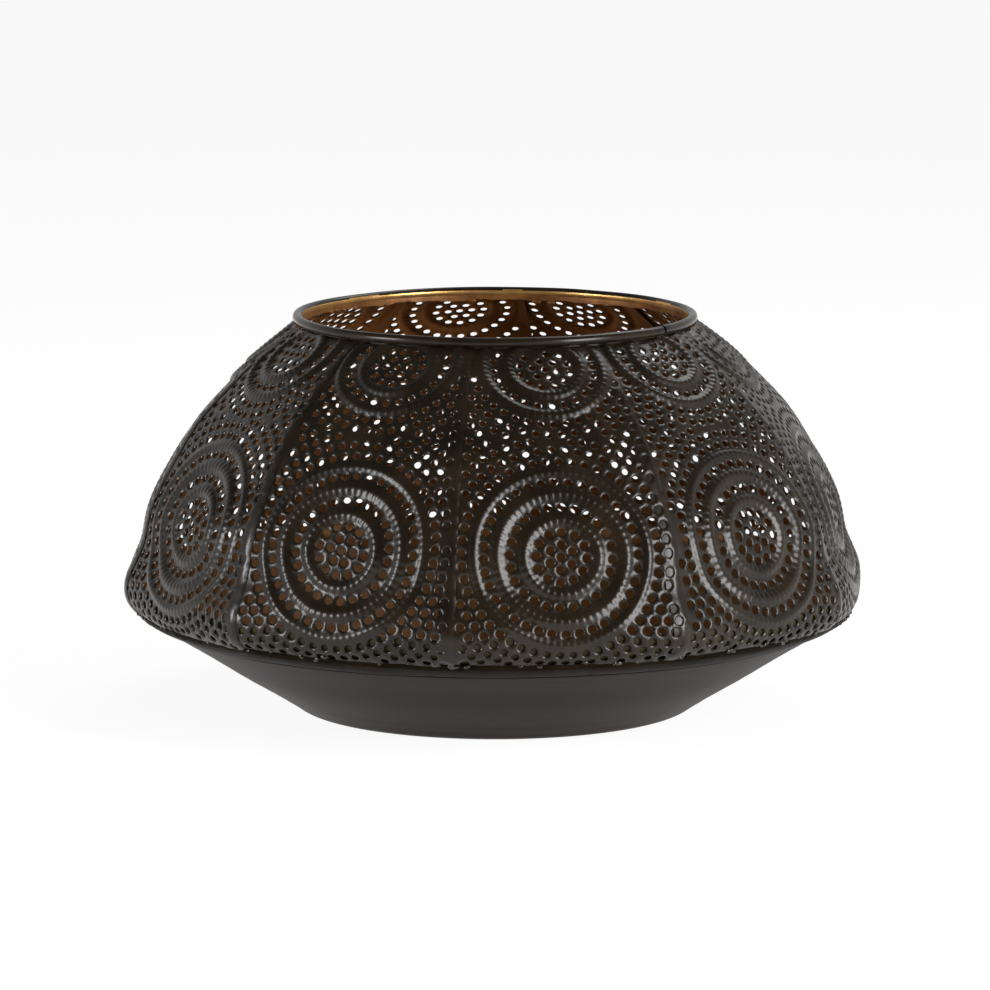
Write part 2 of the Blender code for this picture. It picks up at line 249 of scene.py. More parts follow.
def blank_points(holes, rng, rosettes):
    """Points and edges of the flat blank: outer edge, hole edges, their rolled lips, rows
    over the struck bars and a scatter over the plain sheet."""
    length = GORE_LENGTH / MM
    points, edges = [], []

    def loop(ring):
        start = len(points)
        points.extend(Vector(p) for p in ring)
        edges.extend((start + i, start + (i + 1) % len(ring)) for i in range(len(ring)))

    rows = int(length / 1.5)
    right = [(half_blank(length * i / rows), length * i / rows) for i in range(rows + 1)]
    left = [(-x, y) for x, y in right]
    across = 60
    bottom = [(left[0][0] + (right[0][0] - left[0][0]) * i / across, 0.0)
              for i in range(1, across)]
    top = [(right[-1][0] + (left[-1][0] - right[-1][0]) * i / across, length)
           for i in range(1, across)]
    loop(bottom + right + top + left[::-1])
    for x, y, radius in holes:
        turn = rng.uniform(0, tau)
        loop([(x + radius * cos(turn + tau * i / HOLE_SIDES),
               y + radius * sin(turn + tau * i / HOLE_SIDES)) for i in range(HOLE_SIDES)])
    near = kdtree.KDTree(len(holes))
    for i, (x, y, _) in enumerate(holes):
        near.insert((x, y, 0.0), i)
    near.balance()

    def free(x, y, clear):
        if not 0.4 < y < length - 0.4 or abs(x) > half_blank(y) - 0.4:
            return False
        _, i, d = near.find((x, y, 0.0))
        return d > holes[i][2] + clear

    for x, y, radius in holes:
        turn = rng.uniform(0, tau)
        for lip, sides in ((0.24, HOLE_SIDES), (0.56, HOLE_SIDES)):
            for i in range(sides):
                a = turn + tau * (i + 0.5 * (lip > 0.3)) / sides
                px, py = x + (radius + lip) * cos(a), y + (radius + lip) * sin(a)
                if free(px, py, lip - 0.03):
                    points.append(Vector((px, py)))
    for rosette in rosettes:
        cx, cy = rosette["centre"]
        for radius, half, _, bars in rosette["bars"]:
            lines = 5 if half > 3 else 4
            for j in range(-lines, lines + 1):
                d = radius + half * j / lines
                for i in range(bars * BAR_POINTS):
                    a = tau * i / (bars * BAR_POINTS)
                    px, py = cx + d * cos(a), cy + d * sin(a)
                    if free(px, py, 0.45):
                        points.append(Vector((px, py)))
    placed = kdtree.KDTree(len(points))
    for i, p in enumerate(points):
        placed.insert((p.x, p.y, 0.0), i)
    placed.balance()
    extra = []
    y = 0.8
    while y < length:
        x = -60.0 + (y * 7.3 % 1.0)
        while x < 60.0:
            if free(x, y, 0.5) and placed.find((x, y, 0.0))[2] > 0.75:
                extra.append(Vector((x, y)))
            x += SCATTER
        y += SCATTER
    return points + extra, edges, near


def gore_mesh(name, seed, low_shift, high_shift):
    """One gore, pierced and struck flat and then bent to the bowl, at the first azimuth.
    The shifts are how far the two rosettes were struck off their marks."""
    rng = Random(seed)
    rosettes = []
    for rosette, shift in ((LOWER_ROSETTE, low_shift), (UPPER_ROSETTE, high_shift)):
        x, y = rosette["centre"]
        rosettes.append(dict(rosette, centre=(x + shift[0], y + shift[1])))
    holes = punched_holes(rng, rosettes)
    points, edges, near = blank_points(holes, rng, rosettes)
    verts, _, faces, _, _, _ = geometry.delaunay_2d_cdt(points, edges, [], 2, 1e-5)
    bm = bmesh.new()
    middle = SEAM - LAP + (PITCH + LAP) / 2
    half = (PITCH + LAP) / 2
    made = []
    for v in verts:
        x, y = v.x, min(max(v.y, 0.0), GORE_LENGTH / MM)
        _, i, d = near.find((x, y, 0.0))
        lip = max(0.0, 1.0 - (d - holes[i][2]) / 0.70)
        out = embossing(x, y, rosettes) - 0.50 * lip * lip + lap_edge(x, y, seed)
        r, z, _, _ = outline_at(y * MM)
        off = degrees(atan(x * MM / (r * facet(middle, z))))
        rise = STEP_UP * (off + half) / (2 * half)
        made.append(bm.verts.new(on_bowl(middle + off, y * MM, rise + out * MM)))
    for face in faces:
        x, y = sum(verts[i].x for i in face) / 3, sum(verts[i].y for i in face) / 3
        _, i, d = near.find((x, y, 0.0))
        if d > 0.96 * holes[i][2]:
            bm.faces.new([made[i] for i in face])
    loose = [v for v in bm.verts if not v.link_faces]
    bmesh.ops.delete(bm, geom=loose, context="VERTS")
    for face in bm.faces:
        face.smooth = True
    for edge in bm.edges:
        edge.smooth = not edge.is_boundary
    mesh = bpy.data.meshes.new(name)
    bm.to_mesh(mesh)
    bm.free()
    return mesh


def paint_group(name, spread_from, spread_to, gloss_low, gloss_high, pattern, gloss_pattern,
                height):
    """A group for a mottled paint.  pattern builds the nodes that mottle its colour,
    gloss_pattern those that vary its gloss and height those of its relief; each is given the
    node adder, the linker, the coordinates and the group's inputs, and returns a socket."""
    g = bpy.data.node_groups.new(name, "ShaderNodeTree")
    for label, way, kind in (("Colour", "INPUT", "Color"), ("Rubbed colour", "INPUT", "Color"),
                             ("Gloss", "INPUT", "Float"), ("Mottle size", "INPUT", "Float"),
                             ("Colour", "OUTPUT", "Color"), ("Roughness", "OUTPUT", "Float"),
                             ("Height", "OUTPUT", "Float")):
        g.interface.new_socket(label, in_out=way, socket_type="NodeSocket" + kind)
    n, link = g.nodes, g.links.new
    given, result = n.new("NodeGroupInput"), n.new("NodeGroupOutput")
    coords = n.new("ShaderNodeTexCoord").outputs["Object"]
    mottle = pattern(n, link, coords, given)
    spread = n.new("ShaderNodeMapRange")
    spread.inputs["From Min"].default_value = spread_from
    spread.inputs["From Max"].default_value = spread_to
    link(mottle, spread.inputs["Value"])
    tint = n.new("ShaderNodeMix")
    tint.data_type = "RGBA"
    link(spread.outputs["Result"], tint.inputs["Factor"])
    link(given.outputs["Colour"], tint.inputs["A"])
    link(given.outputs["Rubbed colour"], tint.inputs["B"])
    link(tint.outputs["Result"], result.inputs["Colour"])
    vary = n.new("ShaderNodeMapRange")
    vary.inputs["To Min"].default_value = gloss_low
    vary.inputs["To Max"].default_value = gloss_high
    link(gloss_pattern(n, link, coords, mottle), vary.inputs["Value"])
    rough = n.new("ShaderNodeMath")
    rough.operation = "ADD"
    link(given.outputs["Gloss"], rough.inputs[0])
    link(vary.outputs["Result"], rough.inputs[1])
    link(rough.outputs["Value"], result.inputs["Roughness"])
    link(height(n, link, coords), result.inputs["Height"])
    return g


def cloud(n, link, where, scale, detail=2.0):
    """A noise texture on the given coordinates; scale is a number or a socket."""
    texture = n.new("ShaderNodeTexNoise")
    texture.inputs["Detail"].default_value = detail
    link(where, texture.inputs["Vector"])
    if isinstance(scale, float):
        texture.inputs["Scale"].default_value = scale
    else:
        link(scale, texture.inputs["Scale"])
    return texture.outputs["Fac"]


def lacquer_mottle(n, link, coords, given):
    """Faint brown clouds where the lacquer lies thin."""
    return cloud(n, link, coords, given.outputs["Mottle size"], 5.0)


def lacquer_gloss(n, link, coords, mottle):
    """Patches of duller and brighter gloss."""
    return cloud(n, link, coords, 140.0, 3.0)


def lacquer_height(n, link, coords):
    """Fine orange peel over the soft dents of hand work."""
    peel = cloud(n, link, coords, 900.0)
    both = n.new("ShaderNodeMath")
    both.operation = "MULTIPLY_ADD"
    both.inputs[1].default_value = 3.0
    link(cloud(n, link, coords, 85.0, 1.0), both.inputs[0])
    link(peel, both.inputs[2])
    return both.outputs["Value"]


dark_lacquer = paint_group("dark lacquer", 0.38, 0.72, -0.07, 0.09, lacquer_mottle, lacquer_gloss,
                           lacquer_height)


def painted(name, group, colour, rubbed, gloss, mottle, bump=0.12, metallic=0.0, depth=0.25,
            shine=0.5):
    """A paint finish from one of the paint groups."""
    m = bpy.data.materials.new(name)
    m.use_nodes = True
    tree = m.node_tree
    shader = tree.nodes["Principled BSDF"]
    shader.inputs["Metallic"].default_value = metallic
    shader.inputs["Specular IOR Level"].default_value = shine
    paint = tree.nodes.new("ShaderNodeGroup")
    paint.node_tree = group
    paint.inputs["Colour"].default_value = (*colour, 1.0)
    paint.inputs["Rubbed colour"].default_value = (*rubbed, 1.0)
    paint.inputs["Gloss"].default_value = gloss
    paint.inputs["Mottle size"].default_value = mottle
    tree.links.new(paint.outputs["Colour"], shader.inputs["Base Color"])
    tree.links.new(paint.outputs["Roughness"], shader.inputs["Roughness"])
    relief = tree.nodes.new("ShaderNodeBump")
    relief.inputs["Strength"].default_value = bump
    relief.inputs["Distance"].default_value = depth * MM
    tree.links.new(paint.outputs["Height"], relief.inputs["Height"])
    tree.links.new(relief.outputs["Normal"], shader.inputs["Normal"])
    return m


gore_outside = painted("gore lacquer", dark_lacquer, (0.0085, 0.0052, 0.0024),
                       (0.020, 0.0128, 0.0064), 0.27, 60.0, shine=0.36)
gore_inside = painted("gore gold", dark_lacquer, (0.27, 0.112, 0.030),
                      (0.18, 0.070, 0.018), 0.42, 90.0, metallic=0.35, shine=0.3)


def place(ob, node, body="holder"):
    """Links a piece, lets it ride its body and stand for its CAD node."""
    bpy.context.scene.collection.objects.link(ob)
    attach(ob, body)
    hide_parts(node)
    return ob


def hang_gore(index, mesh):
    """A gore at its azimuth, given its sheet thickness; the inner skin takes the gold."""
    node = "side_panel_%02d" % (index + 1)
    own = mesh.copy()
    own.name = "pierced gore %02d" % (index + 1)
    own.transform(Matrix.Rotation(radians(PITCH * index), 4, "Z"))
    own.materials.append(gore_outside)
    own.materials.append(gore_inside)
    ob = bpy.data.objects.new("pierced_gore_%02d" % (index + 1), own)
    sheet = ob.modifiers.new("sheet", "SOLIDIFY")
    sheet.thickness = GORE_SHEET
    sheet.offset = -1.0
    sheet.material_offset = 1
    sheet.material_offset_rim = 0
    return place(ob, node)


# How far each gore's two rosettes sit off their marks, in millimetres across and up.
STRUCK_OFF = [((0.2, -0.4), (2.2, 0.4)), ((4.2, 1.0), (2.2, 1.0)), ((1.0, 0.5), (-1.5, 0.0)),
              ((-1.2, -0.8), (1.2, -0.6)), ((0.6, 1.1), (2.0, 1.8)), ((-0.8, 0.2), (-3.0, 1.8)),
              ((1.3, -0.5), (-0.6, 0.3)), ((-1.6, 0.7), (2.4, -0.4)), ((0.6, 1.2), (-4.5, 0.0)),
              ((-1.0, 0.3), (-1.0, 0.8))]
gore_meshes = {}
for index, (low, high) in enumerate(STRUCK_OFF):
    kind = index
    if kind not in gore_meshes:
        gore_meshes[kind] = gore_mesh("gore", 3 + kind, low, high)
    hang_gore(index, gore_meshes[kind])


# ======================================================================================
# Rim bead.  The top edge: a strip of sheet curled into a tube round the mouth, its two ends
# butted together with a small step, and brushed with the same lacquer.
# ======================================================================================
BEAD_RADIUS = 87.4 * MM
BEAD_TUBE = 2.15 * MM
BEAD_HEIGHT = 174.0 * MM
BEAD_JOINT = 56.0               # azimuth of the butt joint
BEAD_SLOT = 0.55 * MM           # gap at the joint, each side of its middle
BEAD_SHEET = 0.6 * MM


def swept_ring(section, start, end, steps, wander=0.0, seed=0, close=False):
    """A bmesh of a section of (radius, height) points spun from one azimuth to another.
    wander lets the ring stray a little in and out, as hand-formed work does."""
    bm = bmesh.new()
    a = radians(start)
    ring = [bm.verts.new((r * sin(a), -r * cos(a), z)) for r, z in section]
    edges = [bm.edges.new((ring[i], ring[(i + 1) % len(ring)])) for i in range(len(ring))]
    if not close:
        bmesh.ops.contextual_create(bm, geom=edges)
    bmesh.ops.spin(bm, geom=list(bm.edges) + list(bm.faces), axis=(0, 0, 1), cent=(0, 0, 0),
                   angle=radians(end - start), steps=steps, use_merge=close,
                   use_duplicate=False)
    bmesh.ops.remove_doubles(bm, verts=bm.verts, dist=1e-6)
    bmesh.ops.recalc_face_normals(bm, faces=bm.faces)
    if wander:
        for v in bm.verts:
            flow = Vector((v.co.x, v.co.y, 0.0)).normalized()
            drift = noise.noise(flow * 3.0 + Vector((seed, 0.0, 0.0)))
            lift = noise.noise(flow * 2.2 + Vector((0.0, seed + 7.0, 0.0)))
            v.co += flow * drift * wander + Vector((0, 0, lift * wander))
    return bm


def to_object(bm, name, *materials, sharp=40.0):
    """Finishes a bmesh as a smooth-shaded object with its sharp edges kept."""
    for face in bm.faces:
        face.smooth = True
    for edge in bm.edges:
        if len(edge.link_faces) == 2:
            edge.smooth = edge.calc_face_angle(0.0) < radians(sharp)
    mesh = bpy.data.meshes.new(name)
    bm.to_mesh(mesh)
    bm.free()
    for m in materials:
        mesh.materials.append(m)
    return bpy.data.objects.new(name, mesh)


slot_angle = degrees(BEAD_SLOT / BEAD_RADIUS)
curl = []
for i in range(22):             # the curl runs almost all the way round to the gore
    a = radians(-75.0 + 330.0 * i / 21)
    curl.append((BEAD_RADIUS + BEAD_TUBE * cos(a), BEAD_HEIGHT + BEAD_TUBE * sin(a)))
curl += [(BEAD_RADIUS + (BEAD_TUBE - BEAD_SHEET) * cos(radians(a)),
          BEAD_HEIGHT + (BEAD_TUBE - BEAD_SHEET) * sin(radians(a)))
         for a in range(255, -76, -22)]
bead_bm = swept_ring(curl, BEAD_JOINT + slot_angle, BEAD_JOINT + 360.0 - slot_angle, 240,
                     wander=0.35 * MM, seed=2)
for v in bead_bm.verts:         # one end of the strip stands a little high at the joint
    azimuth = degrees(angle_of(-v.co.y, v.co.x)) % 360.0
    if azimuth > BEAD_JOINT:
        near_end = ease(1.0 - (azimuth - BEAD_JOINT) / 9.0)
        v.co.z += 0.45 * MM * near_end
        flow = Vector((v.co.x, v.co.y, 0.0)).normalized()
        v.co += flow * 0.25 * MM * near_end
bead_lacquer = painted("bead lacquer", dark_lacquer, (0.009, 0.006, 0.003),
                       (0.022, 0.014, 0.008), 0.22, 45.0, bump=0.08, shine=0.28)
rim_gold = painted("rim gold", dark_lacquer, (0.72, 0.42, 0.14), (0.50, 0.26, 0.08),
                   0.30, 120.0, bump=0.3, metallic=0.75, depth=0.4)
for face in bead_bm.faces:      # the gold of the inside was brushed up over the curl
    c = face.calc_center_median()
    round_tube = degrees(angle_of(BEAD_RADIUS - hypot(c.x, c.y), c.z - BEAD_HEIGHT))
    brush = 24.0 + 10.0 * noise.noise(Vector((c.x, c.y, 0.0)) * 60.0)
    face.material_index = int(-100.0 < round_tube < brush)
place(to_object(bead_bm, "curled_rim", bead_lacquer, rim_gold), "rim_bead")


# ======================================================================================
# Inner collar.  A narrow strip of the same steel, painted gold, that lines the mouth under
# the bead and hides the tops of the gores.  It is soldered in, and the solder shows.
# ======================================================================================
COLLAR_RADIUS = 86.4 * MM
COLLAR_TOP = 172.5 * MM
COLLAR_LOW = 170.3 * MM
collar_bm = swept_ring([(COLLAR_RADIUS, COLLAR_TOP), (COLLAR_RADIUS, COLLAR_LOW),
                        (COLLAR_RADIUS - 0.7 * MM, COLLAR_LOW),
                        (COLLAR_RADIUS - 0.7 * MM, (COLLAR_TOP + COLLAR_LOW) / 2),
                        (COLLAR_RADIUS - 0.6 * MM, COLLAR_TOP)],
                       BEAD_JOINT + slot_angle, BEAD_JOINT + 360.0 - slot_angle, 300,
                       wander=0.25 * MM, seed=2)
for v in collar_bm.verts:       # the lower edge is cut by hand
    if v.co.z < COLLAR_LOW + 1.0 * MM:
        where = Vector((v.co.x, v.co.y, 0.0)) * 90.0
        v.co.z += 0.7 * MM * noise.noise(where) + 0.5 * MM * noise.noise(where * 3.1)
solder = Random(11)
for i in range(26):             # beads of solder between collar and gores
    azimuth = solder.uniform(0.0, 360.0)
    size = solder.uniform(0.7, 1.7) * MM
    blob = bmesh.ops.create_icosphere(collar_bm, subdivisions=2, radius=size)["verts"]
    bmesh.ops.scale(collar_bm, vec=(1.5, 0.55, 0.8), verts=blob)
    drop = solder.uniform(-0.3, 0.9) * MM
    bmesh.ops.translate(collar_bm, vec=(0.0, 0.3 * MM - COLLAR_RADIUS, COLLAR_LOW - drop),
                        verts=blob)
    bmesh.ops.rotate(collar_bm, cent=(0, 0, 0), matrix=Matrix.Rotation(radians(azimuth), 3, "Z"),
                     verts=blob)
for face in collar_bm.faces:    # the side against the gores got the outside lacquer
    middle = face.calc_center_median()
    face.material_index = int(face.normal.x * middle.x + face.normal.y * middle.y > 0.02)
collar_gold = painted("collar gold", dark_lacquer, (0.26, 0.11, 0.030), (0.12, 0.045, 0.012),
                      0.40, 120.0, bump=0.35, metallic=0.4, depth=0.4, shine=0.3)
place(to_object(collar_bm, "gold_collar", collar_gold, bead_lacquer), "inner_collar")


# ======================================================================================
# Hem band.  A plain strip wrapped over the lower ends of the gores where they meet the
# dish, soldered on; paint and solder have gathered in lumps along its upper edge.
# ======================================================================================
HEM_WIDTH = 13.0 * MM
HEM_OUT = 0.72 * MM             # clear of the proudest gore edge
HEM_SHEET = 0.55 * MM
HEM_START = 100.0               # azimuth of the strip's own joint
SOLDER_BLOBS = 110
hem_bm = bmesh.new()
bmesh.ops.create_grid(hem_bm, x_segments=720, y_segments=14, size=0.5)
for v in hem_bm.verts:
    azimuth, up = HEM_START + 360.0 * (v.co.x + 0.5), v.co.y + 0.5
    edge = 0.9 * MM * noise.noise(Vector((azimuth * 0.23, 3.0, 0.0)))
    edge += 0.5 * MM * noise.noise(Vector((azimuth * 0.9, 9.0, 0.0)))
    distance = HEM_WIDTH * up + edge * ease((up - 0.7) / 0.3)
    roll = -0.80 * MM * ease((up - 0.80) / 0.20) - 0.25 * MM * ease((0.10 - up) / 0.10)
    lump = max(0.0, noise.noise(Vector((azimuth * 0.8, up * 9.0, 5.0))) - 0.12)
    lump *= 1.7 * MM * ease((up - 0.72) / 0.2) * ease((1.02 - up) / 0.12)
    wave = 0.22 * MM * noise.noise(Vector((azimuth * 0.11, up * 1.5, 1.0)))
    v.co = on_bowl(azimuth, max(distance, 0.0), HEM_OUT + HEM_SHEET + roll + lump + wave)
bmesh.ops.remove_doubles(hem_bm, verts=hem_bm.verts, dist=1e-6)
bmesh.ops.recalc_face_normals(hem_bm, faces=hem_bm.faces)
outward = sum(f.normal.dot(Vector((f.calc_center_median().x, f.calc_center_median().y, 0.0)))
              for f in hem_bm.faces)
if outward < 0:
    bmesh.ops.reverse_faces(hem_bm, faces=hem_bm.faces)
solder = Random(23)
band_faces = len(hem_bm.faces)
for i in range(SOLDER_BLOBS):   # blobs of solder and thick lacquer along the upper edge
    azimuth = solder.uniform(0.0, 360.0)
    size = solder.uniform(0.45, 1.0) * MM
    at = on_bowl(azimuth, solder.uniform(12.0, 14.8) * MM, solder.uniform(0.35, 0.65) * MM)
    turn = Matrix.Rotation(radians(azimuth), 3, "Z") @ Matrix.Rotation(
        radians(solder.uniform(-40.0, 40.0)), 3, "Y") @ Matrix.Diagonal((1.7, 0.55, 0.9))
    bmesh.ops.create_icosphere(hem_bm, subdivisions=2, radius=size,
                               matrix=Matrix.Translation(at) @ turn.to_4x4())
hem_lacquer = painted("hem lacquer", dark_lacquer, (0.006, 0.004, 0.002),
                      (0.014, 0.009, 0.005), 0.44, 50.0, bump=0.25, depth=0.3, shine=0.015)
hem_bm.faces.ensure_lookup_table()
for face in hem_bm.faces[band_faces:]:
    face.material_index = 1
blob_lacquer = painted("blob lacquer", dark_lacquer, (0.012, 0.008, 0.005),
                       (0.030, 0.022, 0.015), 0.20, 90.0, bump=0.1)
hem = to_object(hem_bm, "hem_strip", hem_lacquer, blob_lacquer)
hem_sheet = hem.modifiers.new("sheet", "SOLIDIFY")
hem_sheet.thickness = HEM_SHEET
hem_sheet.offset = -1.0
place(hem, "hem_band")


# ======================================================================================
# Lower dish.  One disc of steel spun to a shallow cone with a flat foot, its lip turned up
# inside the gores.  Lacquered outside, gold inside.
# ======================================================================================
DISH_EDGE = 38.6 * MM           # height at which the cone meets the hem
DISH_SHEET = 1.2 * MM
RIVET_HOLE = 2.9 * MM
LIP_LENGTH = 27.0 * MM
LIP_BACK = 1.15 * MM            # from the outside of the gores to the lip's outer face
cone = smooth_curve([(76.0, 0.0), (83.6, 0.02), (86.0, 0.35), (88.4, 1.45), (90.8, 3.1),
                     (100.0, 9.0), (116.0, 18.6), (132.0, 28.8), (145.0, 36.7), (148.0, 38.6)], 5)
under = [(RIVET_HOLE, 0.0), (40.0 * MM, 0.0)] + [(r * MM, z * MM) for r, z in cone]
lip = [outline_at(LIP_LENGTH * i / 14) for i in range(15)]
lip_out = [(r - LIP_BACK * nr, z - LIP_BACK * nz) for r, z, nr, nz in lip]
lip_in = [(r - 2 * LIP_BACK * nr, z - 2 * LIP_BACK * nz) for r, z, nr, nz in lip[:0:-1]]
over = [(r - 0.62 * MM, z + 1.02 * MM) for r, z in under[:1:-1] if r > 84 * MM]
over += [(82.0 * MM, DISH_SHEET), (40.0 * MM, DISH_SHEET), (RIVET_HOLE, DISH_SHEET)]
dish_bm = swept_ring(under + lip_out + lip_in + over, 0.0, 360.0, 240, close=True)
for face in dish_bm.faces:
    centre = face.calc_center_median()
    outward = face.normal.x * centre.x + face.normal.y * centre.y > 0.0
    if centre.z > DISH_EDGE + 3.0 * MM:
        # the lip's outside, behind the gores, takes gold darkened to a dull olive: painted shade
        face.material_index = 2 if outward else 1
    elif face.normal.z > 0.2 or hypot(centre.x, centre.y) < RIVET_HOLE + 0.3 * MM:
        face.material_index = 1
for v in dish_bm.verts:
    if v.co.z > 0.0412:         # the lip is dressed to the gores' flats
        flat = facet(degrees(angle_of(-v.co.y, v.co.x)), v.co.z)
        v.co.x, v.co.y = v.co.x * flat, v.co.y * flat
for v in dish_bm.verts:         # faint rings and flats left by the spinning tool
    r = hypot(v.co.x, v.co.y)
    if 92 * MM < r < 146 * MM and v.co.z < 0.038:
        v.co.z += 0.05 * MM * sin(r / MM * 1.1) + 0.16 * MM * noise.noise(v.co * 22.0)


def streaks(n, link, coords, given):
    """Lacquer run thin down the cone: noise stretched along its slope."""
    split = n.new("ShaderNodeSeparateXYZ")
    link(coords, split.inputs["Vector"])
    turn = n.new("ShaderNodeMath")
    turn.operation = "ARCTAN2"
    link(split.outputs["Y"], turn.inputs[0])
    link(split.outputs["X"], turn.inputs[1])
    drop = n.new("ShaderNodeMath")
    drop.operation = "MULTIPLY"
    drop.inputs[1].default_value = 2.5
    link(split.outputs["Z"], drop.inputs[0])
    way = n.new("ShaderNodeCombineXYZ")
    link(turn.outputs["Value"], way.inputs["X"])
    link(drop.outputs["Value"], way.inputs["Y"])
    return cloud(n, link, way.outputs["Vector"], given.outputs["Mottle size"], 6.0)


def streak_gloss(n, link, coords, mottle):
    """The streaks are also a little duller."""
    return mottle


def smooth_peel(n, link, coords):
    """Orange peel alone."""
    return cloud(n, link, coords, 600.0)


streaked_lacquer = paint_group("streaked lacquer", 0.35, 0.70, -0.05, 0.07, streaks, streak_gloss,
                               smooth_peel)
dish_outside = painted("dish lacquer", streaked_lacquer, (0.009, 0.0058, 0.0046),
                       (0.016, 0.0108, 0.0085), 0.42, 5.0, bump=0.06, shine=0.045)
dish_inside = painted("dish gold", dark_lacquer, (0.33, 0.158, 0.048), (0.22, 0.105, 0.032),
                      0.40, 60.0, metallic=0.35, shine=0.3)
# gold of the lip's outside darkened to a dull olive, painted shade for the dim gap behind the
# gores
lip_gold_in_painted_shade = painted("lip gold in painted shade", dark_lacquer, (0.046, 0.036, 0.018), (0.030, 0.022, 0.011),
                      0.45, 60.0, shine=0.1)
place(to_object(dish_bm, "spun_dish", dish_outside, dish_inside, lip_gold_in_painted_shade), "lower_dish")


# ======================================================================================
# Tealight cup and its rivet.  A shallow pressed cup with a rolled lip, painted with the
# gold of the inside and fixed through the floor with one domed steel rivet.
# ======================================================================================
cup_base = 1.55 * MM            # on the dish's floor, with a hair of air between
cup_section = smooth_curve([(2.9, 0.0), (19.4, 0.0), (20.6, 0.35), (21.0, 1.4), (21.0, 7.3),
                            (21.2, 7.8), (20.9, 8.2), (20.45, 8.1), (20.2, 7.4), (20.2, 1.7),
                            (19.6, 0.95), (18.6, 0.8), (2.9, 0.8)], 4)
cup_bm = swept_ring([(r * MM, z * MM + cup_base) for r, z in cup_section], 0.0, 360.0, 96,
                    close=True)
cup_gold = painted("cup gold", dark_lacquer, (0.62, 0.33, 0.11), (0.45, 0.20, 0.06), 0.34,
                   130.0, metallic=0.7, bump=0.2)
place(to_object(cup_bm, "pressed_cup", cup_gold), "tealight_cup")

rivet_bm = bmesh.new()
rivet_profile = [(0.0, 0.15), (2.3, 0.15), (2.4, 0.3), (2.4, 2.7), (4.5, 2.7), (4.35, 3.1),
                 (3.6, 3.55), (2.3, 3.85), (0.0, 3.9)]
chain = [rivet_bm.verts.new((r * MM, 0.0, z * MM)) for r, z in rivet_profile]
for pair in zip(chain, chain[1:]):
    rivet_bm.edges.new(pair)
bmesh.ops.spin(rivet_bm, geom=list(rivet_bm.edges), axis=(0, 0, 1), cent=(0, 0, 0), angle=tau,
               steps=48, use_merge=True)
bmesh.ops.remove_doubles(rivet_bm, verts=rivet_bm.verts, dist=1e-6)
bmesh.ops.recalc_face_normals(rivet_bm, faces=rivet_bm.faces)


def bare_metal(name, colour, rubbed, gloss, bump=0.1):
    """Unpainted metal, faintly mottled."""
    return painted(name, dark_lacquer, colour, rubbed, gloss, 300.0, metallic=1.0, bump=bump)


place(to_object(rivet_bm, "floor_rivet",
                bare_metal("rivet steel", (0.60, 0.58, 0.54), (0.48, 0.45, 0.40), 0.32)),
      "cup_rivet")


# ======================================================================================
# Tealight.  Loose in the cup: a drawn aluminium can with a fluted wall, white wax slightly
# sunk round a braided wick, and the wick's tin tab on the can's floor.
# ======================================================================================
can_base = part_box("candle_can")[0][2]
can_section = smooth_curve([(0.2, 0.0), (17.6, 0.0), (18.6, 0.25), (19.0, 1.0), (19.0, 15.2),
                            (19.35, 15.5), (19.3, 15.9), (18.9, 15.95), (18.6, 15.4),
                            (18.6, 1.4), (18.0, 0.6), (17.2, 0.45), (0.2, 0.45)], 4)
can_bm = swept_ring([(r * MM, z * MM + can_base) for r, z in can_section], 0.0, 360.0, 144,
                    close=True)
bmesh.ops.holes_fill(can_bm, edges=can_bm.edges, sides=0)
for v in can_bm.verts:          # shallow flutes pressed into the wall
    r = hypot(v.co.x, v.co.y)
    if r > 18.0 * MM:
        angle = angle_of(v.co.x, v.co.y)
        height = (v.co.z - can_base) / MM
        push = 0.10 * MM * cos(48 * angle) * ease((height - 1.5) / 2) * ease((14.6 - height) / 2)
        v.co += Vector((v.co.x, v.co.y, 0.0)).normalized() * push
place(to_object(can_bm, "foil_can",
                bare_metal("drawn foil", (0.82, 0.82, 0.83), (0.70, 0.70, 0.72), 0.24, 0.3)),
      "candle_can", "tealight")

wax_low, wax_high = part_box("candle_wax")
wax_section = smooth_curve([(2.6, 0.0), (17.4, 0.0), (18.1, 0.6), (18.1, 11.0), (17.9, 11.25),
                            (17.2, 11.05), (12.0, 10.85), (5.0, 10.7), (2.2, 10.6), (1.4, 10.45),
                            (1.3, 9.6), (1.3, 3.4), (2.6, 2.9)], 4)
wax_bm = swept_ring([(r * MM, z * MM + wax_low[2]) for r, z in wax_section], 0.0, 360.0, 120,
                    close=True)
for v in wax_bm.verts:
    if v.co.z > wax_high[2] - 1.2 * MM:
        v.co.z += 0.10 * MM * noise.noise(v.co * 160.0)
wax = bpy.data.materials.new("paraffin")
wax.use_nodes = True
wax_shader = wax.node_tree.nodes["Principled BSDF"]
wax_shader.inputs["Roughness"].default_value = 0.42
wax_shader.inputs["Subsurface Weight"].default_value = 0.35
wax_shader.inputs["Subsurface Radius"].default_value = (0.006, 0.005, 0.004)
wax_shader.inputs["Subsurface Scale"].default_value = 1.0
wax_nodes, wax_link = wax.node_tree.nodes, wax.node_tree.links.new
milky = wax_nodes.new("ShaderNodeValToRGB")
milky.color_ramp.elements[0].color = (0.80, 0.77, 0.70, 1.0)
milky.color_ramp.elements[1].color = (0.93, 0.91, 0.86, 1.0)
wax_link(cloud(wax_nodes, wax_link, wax_nodes.new("ShaderNodeTexCoord").outputs["Object"],
               240.0, 6.0), milky.inputs["Fac"])
wax_link(milky.outputs["Color"], wax_shader.inputs["Base Color"])
place(to_object(wax_bm, "wax_fill", wax), "candle_wax", "tealight")

